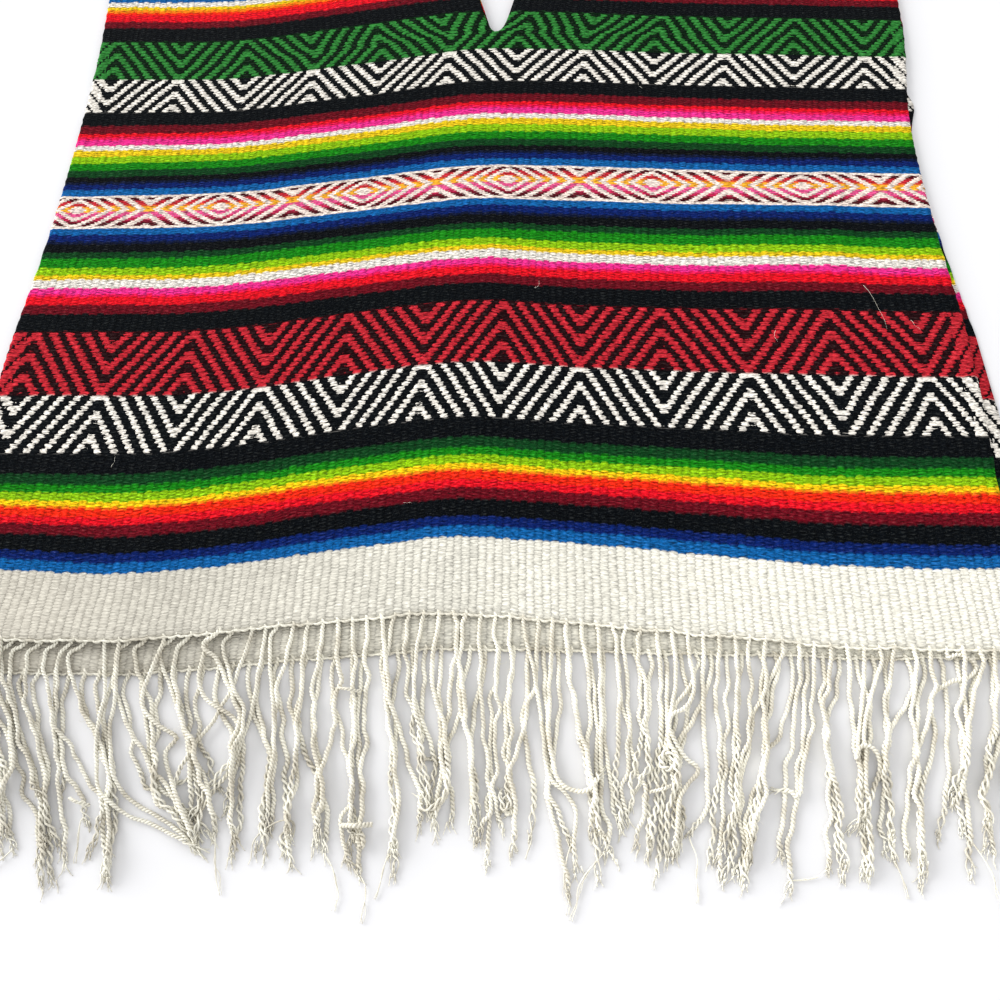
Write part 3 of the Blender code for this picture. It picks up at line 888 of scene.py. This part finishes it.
# cords that lie in bends and loops of their own, in mm: x at the front hem,
# then the places that the cord passes
BENT_CORDS = (
    (-298, (-292, -45), (-281, -65), (-274, -85), (-273, -97), (-277, -110), (-284, -118)),
    (-232, (-229, -50), (-228, -80), (-222, -104), (-206, -116), (-186, -124), (-164, -134)),
    (-222, (-223, -46), (-222, -72), (-214, -98), (-200, -112), (-180, -122), (-163, -137)),
    (-196, (-205, -40), (-206, -54), (-198, -66), (-184, -74), (-190, -83), (-184, -96), (-176, -112),
     (-166, -129)),
    (-170, (-176, -38), (-170, -52), (-155, -62), (-147, -73), (-151, -87), (-162, -102), (-169, -120)),
    (-150, (-158, -52), (-172, -78), (-181, -100), (-174, -122), (-165, -135)),
    (-141, (-143, -60), (-150, -88), (-163, -112), (-166, -131)),
    (-40, (-40, -40), (-33, -64), (-30, -84), (-29, -99), (-33, -110), (-40, -115), (-44, -106)),
    (18, (22, -50), (25, -80), (28, -98), (37, -106), (42, -115), (40, -132), (41, -147)),
    (27, (28, -60), (29, -86), (34, -100), (44, -105), (51, -102), (56, -94)),
    (105, (103, -40), (97, -64), (96, -77), (99, -86), (96, -92), (91, -91), (90, -86), (94, -83),
     (98, -88), (98, -99), (92, -118), (90, -139)),
    (113, (112, -34), (112, -50), (106, -58), (98, -62), (96, -69), (99, -77), (105, -86), (111, -92),
     (105, -100), (99, -110), (96, -126), (93, -139)),
    (212, (211, -46), (205, -70), (200, -88), (203, -80), (211, -81), (213, -92), (206, -106),
     (198, -117), (191, -125)),
    (262, (270, -26), (279, -32), (274, -39), (262, -43), (252, -48), (248, -57), (249, -71),
     (243, -86), (236, -100), (229, -124), (228, -146)),
)
# thin loose strands in mm: x, y and height where each begins, then its other places
WISPS = np.array((
    ((-262, -140, 4), (-276, -146, 2), (-292, -153, 1)),
    ((-232, -100, 6), (-231, -120, 3), (-229, -142, 1)),
    ((-152, -128, 5), (-153, -142, 2), (-149, -158, 1)),
    ((-122, -104, 6), (-112, -118, 3), (-118, -139, 1)),
    ((-90, -138, 4), (-87, -150, 2), (-88, -166, 1)),
    ((-72, -142, 4), (-71, -156, 2), (-73, -172, 1)),
    ((-66, -136, 4), (-64, -148, 2), (-67, -160, 1)),
    ((14, -116, 6), (17, -128, 2), (14, -140, 1)), ((28, -140, 5), (34, -155, 2), (36, -168, 1)),
    ((52, -136, 5), (44, -150, 2), (38, -171, 1)), ((98, -128, 6), (106, -142, 2), (104, -162, 1)),
    ((178, -136, 5), (170, -148, 2), (156, -151, 1)),
    ((212, -138, 6), (216, -150, 2), (217, -160, 1)),
    ((258, -120, 6), (264, -145, 3), (268, -176, 1)),
)) / MM
# threads caught across the cords in mm: x and y of one end, x and y of the
# other, thickness of a ply
CAUGHT_THREADS = np.array((
    (-87, -122.8, -70, -122.2, 0.9), (-94, -46, -81, -48, 0.6), (83, -105, 96, -101, 0.6),
    (-238, -108, -226, -112, 0.6),
)) / MM
# hairs shed on the front: place across the loom, height, heading, length, bend
STRAY_HAIRS = (
    (0.2675, 0.2555, -1.05, 0.040, -0.45), (0.293, 0.226, -1.2, 0.010, 0.3),
    (-0.118, 0.452, 0.4, 0.009, 1.4), (0.122, 0.446, 2.6, 0.008, -1.2),
    (-0.2395, 0.127, 1.1, 0.008, 0.5), (0.041, 0.246, 0.2, 0.008, 1.6),
    (0.205, 0.215, -2.2, 0.010, 1.1), (-0.0355, 0.0765, 2.9, 0.005, 0.4),
)
# fine fibres: points along one, its sides, how much thinner its tip is, its
# ripple, and how near the floor it comes
HAIR_POINTS = 7
FIBRE_SIDES = 3
HAIR_TAPER = 0.6
HAIR_RIPPLE = (0.0006, 9.0)
HAIR_LOWEST = 0.0003
# fibres frayed out of each tip, which heads as its last steps do: number,
# stretch of the cord that sheds them, scatter of place and heading, length,
# bend, fall, radius
TIP_STEPS = 5
TIP_FIBRES = 7
TIP_STRETCH = (0.93, 0.999)
TIP_STRAY = 0.0009
TIP_HEADING = 0.13
TIP_LENGTH = (0.003, 0.008)
TIP_BEND = 0.4
TIP_FALL = 0.8
TIP_RADIUS = 0.00048
# fibres that stand off each cord: the same, and how far above its middle
FUZZ_FIBRES = 3
FUZZ_STRETCH = (0.05, 0.95)
FUZZ_LENGTH = (0.002, 0.006)
FUZZ_BEND = 2.0
FUZZ_FALL = 0.1
FUZZ_RADIUS = 0.00011
FUZZ_ABOVE = 0.0012
STRAY_RADIUS = 0.00010
STRAY_ABOVE = 0.0004
WISP_POINTS = 26
WISP_RADII = (0.00050, 0.00034, 0.00026)
WISP_KINK = 0.0009
# a caught thread: y by which it sags, how far apart its plies lie, its height in
# the middle and at its ends, points of its line and rings of its plies
THREAD_SAG = 0.001
THREAD_LAY = 0.8
THREAD_HEIGHTS = (0.0088, 0.004)
THREAD_POINTS = 16
THREAD_RINGS = 40
# the turn of weft along a hem: points, how far in it starts, its beads' wander,
# the y and z of its middle and its radius, each a start and a gain where a bead
# swells, and its level of painted groove shade, 1 being a ply's outer side
TURN_POINTS = 1000
TURN_INSET = 0.001
TURN_WANDER = (1.3, 47.0)
TURN_Y = (0.0002, -0.0006)
TURN_Z = (0.0005, 0.0002)
TURN_RADIUS = (0.00055, 0.00030)
TURN_GROOVE_SHADE = 0.75
# level of painted groove shade on loose fibres, near a ply's outer side
FIBRE_GROOVE_SHADE = 0.95
# look of the wool: noise scale and detail; painted shade in the grooves, brightness of
# fibres, and painted light from the left to the right, each a start and a gain; tints of soiling and
# clean wool
SOILING_NOISE = (70.0, 2.0)
FIBRE_NOISE = (1400.0, 1.0)
CORD_GROOVE_SHADE = (0.66, 0.40)
CORD_FIBRES = (0.72, 0.60)
CORD_PAINTED_LIGHT = (0.985, 0.55)
CORD_TINTS = ((0.34, dyed(210, 204, 188)), (0.60, dyed(244, 241, 227)))
CORD_RELIEF = 0.0004

ROOTS = LOOM_WIDTH / CORDS * (np.arange(CORDS) + 0.5) - 0.5 * LOOM_WIDTH
chance = np.random.default_rng(7)
unlaid = np.random.default_rng(11)


def running_length(points):
    """Length of each step of a polyline, and the length run at each point."""
    steps = np.linalg.norm(np.diff(points, axis=0), axis=1)
    return steps, np.concatenate(((0.0,), np.cumsum(steps)))


def resample(points, count):
    """Points spaced evenly along a polyline, by its running length."""
    run = running_length(points)[1]
    where = np.linspace(0.0, run[-1], count)
    return np.stack([np.interp(where, run, points[:, k]) for k in range(points.shape[1])], -1)


def smooth_path(points, count):
    """Catmull-Rom curve through the points: each stretch is a cubic whose end
    slopes are half the step between the neighbours."""
    points = np.asarray(points, dtype=float)
    padded = np.vstack((2 * points[0] - points[1], points, 2 * points[-1] - points[-2]))
    t = np.linspace(0.0, len(points) - 1.0, CURVE_STEPS * len(points))
    k = np.minimum(t.astype(int), len(points) - 2)
    f = (t - k)[:, None]
    p0, p1, p2, p3 = (padded[k + j] for j in range(4))
    curve = 0.5 * (2 * p1 + (p2 - p0) * f + (2 * p0 - 5 * p1 + 4 * p2 - p3) * f ** 2
                   + (3 * p1 - p0 - 3 * p2 + p3) * f ** 3)
    return resample(curve, count)


def kinked(plan, amount):
    """The plan line pushed sideways by three sine waves of its own, 11 to 40 mm
    long, that grow from nothing at the root."""
    run = running_length(plan)[1]
    push = np.zeros(len(plan))
    for share, shortest, longest in KINKS:
        pitch = chance.uniform(shortest, longest)
        push += share * np.sin(2.0 * np.pi * (run / pitch + chance.uniform()))
    along = np.gradient(plan, axis=0)
    along /= np.linalg.norm(along, axis=1)[:, None]
    push *= amount * ease(run / KINKS_FULL)
    return plan + push[:, None] * along[:, ::-1] * (1.0, -1.0)


def cord_plans(table, drop, hem_y, tip_gain, front):
    """Plan route of every cord of a hem, from its root through the waist of
    its gathering to its tip, with kinks of its own. Some stray to the next
    gathering, some are short, and the bent cords keep their own places."""
    root_x, root_y = cloth_xy(ROOTS, np.zeros(CORDS), table, drop, 0.0)
    root_y = root_y + hem_y
    owner = np.abs(root_x[:, None] - GATHERINGS[None, :, 0]).argmin(axis=1)
    stray = chance.random(CORDS) < STRAY_SHARE
    owner = np.clip(owner + stray * chance.choice((-1, 1), CORDS), 0, len(GATHERINGS) - 1)
    own_places = {}
    if front:
        for hem_x, *places in BENT_CORDS:
            own_places[int(np.abs(root_x - hem_x / MM).argmin())] = np.array(places) / MM
    number = np.arange(CORDS)
    plans = []
    for n in range(CORDS):
        mates = number[owner == owner[n]]
        rank = n - mates.mean()
        waist_x, waist_y, tip_x, tip_y = GATHERINGS[owner[n], 1:]
        tip_y = tip_y + tip_gain + chance.normal(0.0, TIP_SCATTER[1])
        tip_y += chance.uniform(*SHORT_BY) * (chance.random() < SHORT_SHARE)
        waist_x = waist_x + rank * WAIST_STEP + chance.normal(0.0, WAIST_SCATTER)
        tip_x = tip_x + rank * TIP_STEP + chance.normal(0.0, TIP_SCATTER[0])
        waist_y = waist_y - WAIST_LOWER + chance.uniform(-WAIST_SPREAD, WAIST_SPREAD)
        x0, y0 = root_x[n], root_y[n]
        leans = front and HEM_LEAN_SPAN[0] < x0 < HEM_LEAN_SPAN[1]
        lean = (HEM_LEAN if leans else 0.0) + chance.normal(0.0, ROOT_LEAN)
        share = chance.uniform(*KNEE_SHARE)
        if n in own_places:
            line = ((x0, y0 + ROOT_IN), (x0, y0 + ROOT_OUT[1]), *own_places[n])
            kink = CORD_KINK[0]
        else:
            line = (
                (x0, y0 + ROOT_IN),
                (x0 + 0.5 * lean, y0 + ROOT_OUT[0]),
                (x0 + lean, y0 + ROOT_OUT[2]),
                (x0 + lean + (waist_x - x0 - lean) * share + chance.normal(0.0, KNEE_SCATTER),
                 y0 + (waist_y - y0) * 0.5),
                (waist_x, waist_y),
                (0.5 * (waist_x + tip_x) + chance.normal(0.0, SHIN_SCATTER),
                 0.5 * (waist_y + tip_y)),
                (tip_x, tip_y),
            )
            kink = chance.uniform(*CORD_KINK)
        plans.append(kinked(smooth_path(line, LAY_POINTS), kink))
    return plans


def evened(line):
    """A line with each inner value a quarter of its neighbours and half itself."""
    even = line.copy()
    even[1:-1] = 0.25 * line[:-2] + 0.5 * line[1:-1] + 0.25 * line[2:]
    return even


def lay_cords(plans, start_z, laid, shelf_y):
    """Heights of cords laid one after another on the floor and on each other.

    A point needs the height of every earlier cord that it crosses, by the
    circle rule for two round cords, squashed a little where they nest; the
    cord is stiff, so its height is an evened line that stays above the needs.
    shelf_y gives the y down to which the back hem lifts it.
    """
    radius = 0.5 * CORD
    order = chance.permutation(len(plans))
    routes = [None] * len(plans)
    for n in order:
        plan = plans[n]
        on_hem = 1.0 - ease((shelf_y(plan[:, 0]) - plan[:, 1]) / HEM_STEP)
        need = radius + on_hem * WALL * (start_z[n] > WALL)
        if laid:
            other = np.vstack(laid)
            gap2 = ((plan[:, None, :] - other[None, :, :2]) ** 2).sum(axis=2)
            reach2 = (2.0 * radius * NEST) ** 2
            over = other[None, :, 2] + np.sqrt(np.maximum(reach2 - gap2, 0.0))
            need = np.maximum(need, np.where(gap2 < reach2, over, 0.0).max(axis=1))
        need[0] = start_z[n]
        line = need.copy()
        for _ in range(RESTING):
            line = np.maximum(evened(line), need)
            line[0] = start_z[n]
        for _ in range(EVENING):
            line = evened(line)
        routes[n] = np.column_stack((plan, line))
        laid.append(routes[n])
    return routes


def frames_along(path):
    """Unit directions across and above a path, level with the floor."""
    along = np.gradient(path, axis=0)
    along /= np.linalg.norm(along, axis=1)[:, None]
    across = np.cross(along, (0.0, 0.0, 1.0))
    across /= np.linalg.norm(across, axis=1)[:, None] + 1e-9
    return across, np.cross(across, along)


def tube(path, radius, sides, phase=0.0):
    """Tube round a path: a ring of points at each of its points, joined in
    quads. Its first side, turned by phase, gets full light in the painted groove shade that it returns,
    the opposite side the most shade."""
    across, above = frames_along(path)
    count = len(path)
    radius = np.broadcast_to(radius, (count,))[:, None, None]
    phase = np.broadcast_to(phase, (count,))[:, None]
    angle = 2.0 * np.pi * np.arange(sides) / sides + phase
    ring = (np.cos(angle)[..., None] * across[:, None, :]
            + np.sin(angle)[..., None] * above[:, None, :])
    verts = (path[:, None, :] + radius * ring).reshape(-1, 3)
    first = np.arange(count - 1)[:, None] * sides
    here = np.arange(sides)[None, :]
    after = (here + 1) % sides
    quads = np.stack((first + here, first + after, first + sides + after,
                      first + sides + here), -1).reshape(-1, 4)
    # painted shade across each ring: 1 on the first side, 0 on the side opposite
    groove_shade = 0.5 + 0.5 * np.cos(2.0 * np.pi * np.arange(sides) / sides)
    return verts, quads, np.tile(groove_shade, count)


def cord_object(name, tubes, sides):
    """One mesh of all the tubes, with a flat cap on each end and an attribute
    that is 1 on a ply's outer side and 0 where it meets its mate: painted shade for the grooves."""
    faces = []
    base = 0
    ring = np.arange(sides)
    for points, quads, _ in tubes:
        faces.extend((quads[:, ::-1] + base).tolist())
        faces.append((ring + base).tolist())
        faces.append((ring[::-1] + base + len(points) - sides).tolist())
        base += len(points)
    cords = mesh_piece(name, np.vstack([points for points, _, _ in tubes]), faces)
    # painted shade in the grooves between plies, read by the cord material
    painted_groove_shade = cords.data.attributes.new("painted_groove_shade", "FLOAT", "POINT")
    painted_groove_shade.data.foreach_set("value", np.concatenate([groove_shade for _, _, groove_shade in tubes]))
    cords.data.materials.append(cream_cord)
    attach(cords, "root")
    return cords


def twisted(route, rings, lay, offset, ply_radius, fray, slack=1.0):
    """Two plies wound round a route: each is a tube whose middle circles the
    route once in each lay, half a turn from its mate. Past the share slack of
    the route the twist opens: the plies turn slowly, part and lie side by side,
    each with soft waves of its own. Over the last stretch of length fray they
    thin out and spread apart, and no longer turn."""
    path = resample(smooth_path(route[:, :3], rings), rings)
    across, above = frames_along(path)
    step, run = running_length(path)
    loose = ease((run - run[-1] + fray) / fray) if fray > 0 else 0.0 * run
    opened = ease((run / run[-1] - slack) / OPENS_OVER)
    pace, flat, slim = ((1.0 - frayed * loose) * (1.0 - open_share * opened)
                        for frayed, open_share in zip(FRAYED, OPENED))
    turn = 2.0 * np.pi * np.concatenate(((0.0,), np.cumsum(step * pace[1:]))) / lay
    plies = []
    for start in (0.0, np.pi):
        angle = (turn + start)[:, None]
        wide = offset * (1.0 + FRAY_SPREAD * loose * chance.uniform(*FRAY_PARTS)
                         + OPEN_SPREAD * opened)[:, None]
        middle = path + wide * (np.cos(angle) * across + flat[:, None] * np.sin(angle) * above)
        sway = np.sin(2.0 * np.pi * (run / unlaid.uniform(*SWAY_WAVES) + unlaid.uniform()))
        middle += (OPEN_SWAY * opened * sway)[:, None] * across
        middle[:, 2] = np.maximum(middle[:, 2], ply_radius)
        plies.append(tube(middle, ply_radius * slim, PLY_SIDES, turn + start))
    return plies


def hair(start, heading, length, bend, fall):
    """A fine tapering fibre: a flat arc from start along a heading, turning by
    bend over its length and sinking to the floor by fall."""
    t = np.linspace(0.0, 1.0, HAIR_POINTS)
    angle = heading + bend * t
    step = length / (HAIR_POINTS - 1)
    x, y = (begin + step * np.concatenate(((0.0,), np.cumsum(part(angle[1:]))))
            for begin, part in zip(start, (np.cos, np.sin)))
    ripple = HAIR_RIPPLE[0] * np.sin(HAIR_RIPPLE[1] * t)
    z = np.maximum(start[2] * (1.0 - fall * ease(t)) + ripple, HAIR_LOWEST)
    return np.column_stack((x, y, z)), 1.0 - HAIR_TAPER * t


def cord_material():
    """Natural wool cord: cream, with soiling in lengths and fine fibres; painted shade
    greys it towards the left and darkens the grooves between the plies."""
    material, shader = wool("cream_wool_cord", roughness=0.92, gloss=0.10)
    tree = material.node_tree
    place = node_reading(tree, "TexCoord", "Object")
    across = node_reading(tree, "SeparateXYZ", "X", Vector=place)
    soiling, fibre = (
        node_reading(tree, "TexNoise", "Fac", Vector=place, Scale=scale, Detail=detail)
        for scale, detail in (SOILING_NOISE, FIBRE_NOISE))
    # painted shade: darker in the grooves between plies and darker towards the left
    groove_shade = from_to(own_reading(tree, "painted_groove_shade", "Fac"), *CORD_GROOVE_SHADE)
    painted_light_to_right = from_to(across, *CORD_PAINTED_LIGHT).at_most(1.0)
    brightness = groove_shade * from_to(fibre, *CORD_FIBRES) * painted_light_to_right
    colour = shaded(ramp(soiling, CORD_TINTS), brightness)
    dress(shader, colour, fibre, strength=0.8, depth=CORD_RELIEF)
    return material


def hem_line(table, drop, hem_y, front, across):
    """Middle of a hem at places across the loom, as points."""
    x, y = cloth_xy(across, 0.0 * across, table, drop, 0.0)
    rise = 1.5 * WALL + SEAM + front_rise(across, 0.0 * across, x) if front else 0.5 * WALL
    return np.column_stack((x, y + hem_y, rise + 0.0 * x))


def back_hem_y(x):
    """y of the back fringe's heading below a given x."""
    across = np.linspace(-0.5 * LOOM_WIDTH, 0.5 * LOOM_WIDTH, HEM_READINGS)
    line = hem_line(BACK_LINES, BACK_DROP, BACK_HEM, False, across)
    return np.interp(x, line[:, 0], line[:, 1]) - HEADING


cream_cord = cord_material()
laid_cords = []
hem_yarns = []
frays = []
tips = []
for name, table, drop, hem_y, front in (
        ("back_cords", BACK_LINES, BACK_DROP, BACK_HEM, False),
        ("front_cords", FRONT_LINES, FRONT_DROP, 0.0, True)):
    plans = cord_plans(table, drop, hem_y, FRONT_CORD_SHORT if front else 0.0, front)
    root_z = hem_line(table, drop, hem_y, front, ROOTS)[:, 2]
    routes = lay_cords(plans, root_z, laid_cords, back_hem_y)
    tubes = []
    for route in routes:
        slim = min(chance.uniform(*SLIM[:2]) + SLIM[2] * route[0, 0], 1.0)
        tubes += twisted(route, CORD_RINGS, TWIST_LAY, PLY_OFFSET * slim, PLY_RADIUS * slim,
                         FRAY * chance.uniform(*FRAY_SHARE), unlaid.uniform(*SLACK_FROM))
        tip_heading = np.arctan2(*(route[-1, :2] - route[-1 - TIP_STEPS, :2])[::-1])
        tips.append(route[-1])
        for _ in range(TIP_FIBRES):
            at = route[int(len(route) * chance.uniform(*TIP_STRETCH))]
            at = at + (chance.normal(0.0, TIP_STRAY), 0.0, 0.0)
            fibre, taper = hair(at, tip_heading + chance.normal(0.0, TIP_HEADING),
                                chance.uniform(*TIP_LENGTH), chance.normal(0.0, TIP_BEND),
                                TIP_FALL)
            frays.append(tube(fibre, TIP_RADIUS * taper, FIBRE_SIDES))
        for _ in range(FUZZ_FIBRES):
            at = route[int(len(route) * chance.uniform(*FUZZ_STRETCH))]
            fibre, taper = hair(at, chance.uniform(-np.pi, 0.0), chance.uniform(*FUZZ_LENGTH),
                                chance.normal(0.0, FUZZ_BEND), FUZZ_FALL)
            frays.append(tube(fibre + (0.0, 0.0, FUZZ_ABOVE), FUZZ_RADIUS * taper, FIBRE_SIDES))
    cord_object(name, tubes, PLY_SIDES)
    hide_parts("front_fringe" if front else "back_fringe")

    last = 0.5 * LOOM_WIDTH - TURN_INSET
    places = np.linspace(-last, last, TURN_POINTS)
    edge = hem_line(table, drop, hem_y, front, places)
    swing, pace = TURN_WANDER
    scallop = np.abs(np.sin(np.pi * places / RIB + swing * np.sin(pace * places)))
    edge[:, 1] += TURN_Y[0] + TURN_Y[1] * scallop
    edge[:, 2] += TURN_Z[0] + TURN_Z[1] * scallop
    points, quads, groove_shade = tube(edge, TURN_RADIUS[0] + TURN_RADIUS[1] * scallop, PLY_SIDES)
    # the turn of weft takes one even level of painted groove shade
    hem_yarns.append((points, quads, TURN_GROOVE_SHADE + 0.0 * groove_shade))

for across, height, heading, length, bend in STRAY_HAIRS:
    x, y = cloth_xy(across, height, FRONT_LINES, FRONT_DROP, 1.0)
    top = 2.0 * WALL + SEAM + front_rise(across, height, x)
    fibre, taper = hair((x, y, top), heading, length, bend, 0.0)
    frays.append(tube(fibre + (0.0, 0.0, STRAY_ABOVE), STRAY_RADIUS * taper, FIBRE_SIDES))
tips = np.array(tips)
leave = (1.0 - np.linspace(0.0, 1.0, WISP_POINTS)[:, None]) ** 3
for wisp in WISPS:
    nearest = tips[np.argmin(np.hypot(*(tips[:, :2] - wisp[0][:2]).T))]
    for thick in WISP_RADII:
        path = smooth_path(wisp, WISP_POINTS)
        path += leave * (nearest - path[0])
        path[:, :2] = kinked(path[:, :2], WISP_KINK)
        frays.append(tube(path, thick * np.linspace(1.0, 0.5, WISP_POINTS), FIBRE_SIDES))
# frayed and stray fibres take one even level of painted groove shade, near full light
frays = [(points, quads, 0.0 * groove_shade + FIBRE_GROOVE_SHADE) for points, quads, groove_shade in frays]
for x_from, y_from, x_to, y_to, thick in CAUGHT_THREADS:
    high, low = THREAD_HEIGHTS
    middle = (0.5 * (x_from + x_to), 0.5 * (y_from + y_to) - THREAD_SAG, high)
    path = smooth_path(((x_from, y_from, low), middle, (x_to, y_to, low)), THREAD_POINTS)
    hem_yarns += twisted(path, THREAD_RINGS, TWIST_LAY, THREAD_LAY * thick, thick, 0.0)

loose_yarns = cord_object("hem_and_caught_yarns", hem_yarns, PLY_SIDES)
frayed_fibres = cord_object("frayed_fibres", frays, FIBRE_SIDES)
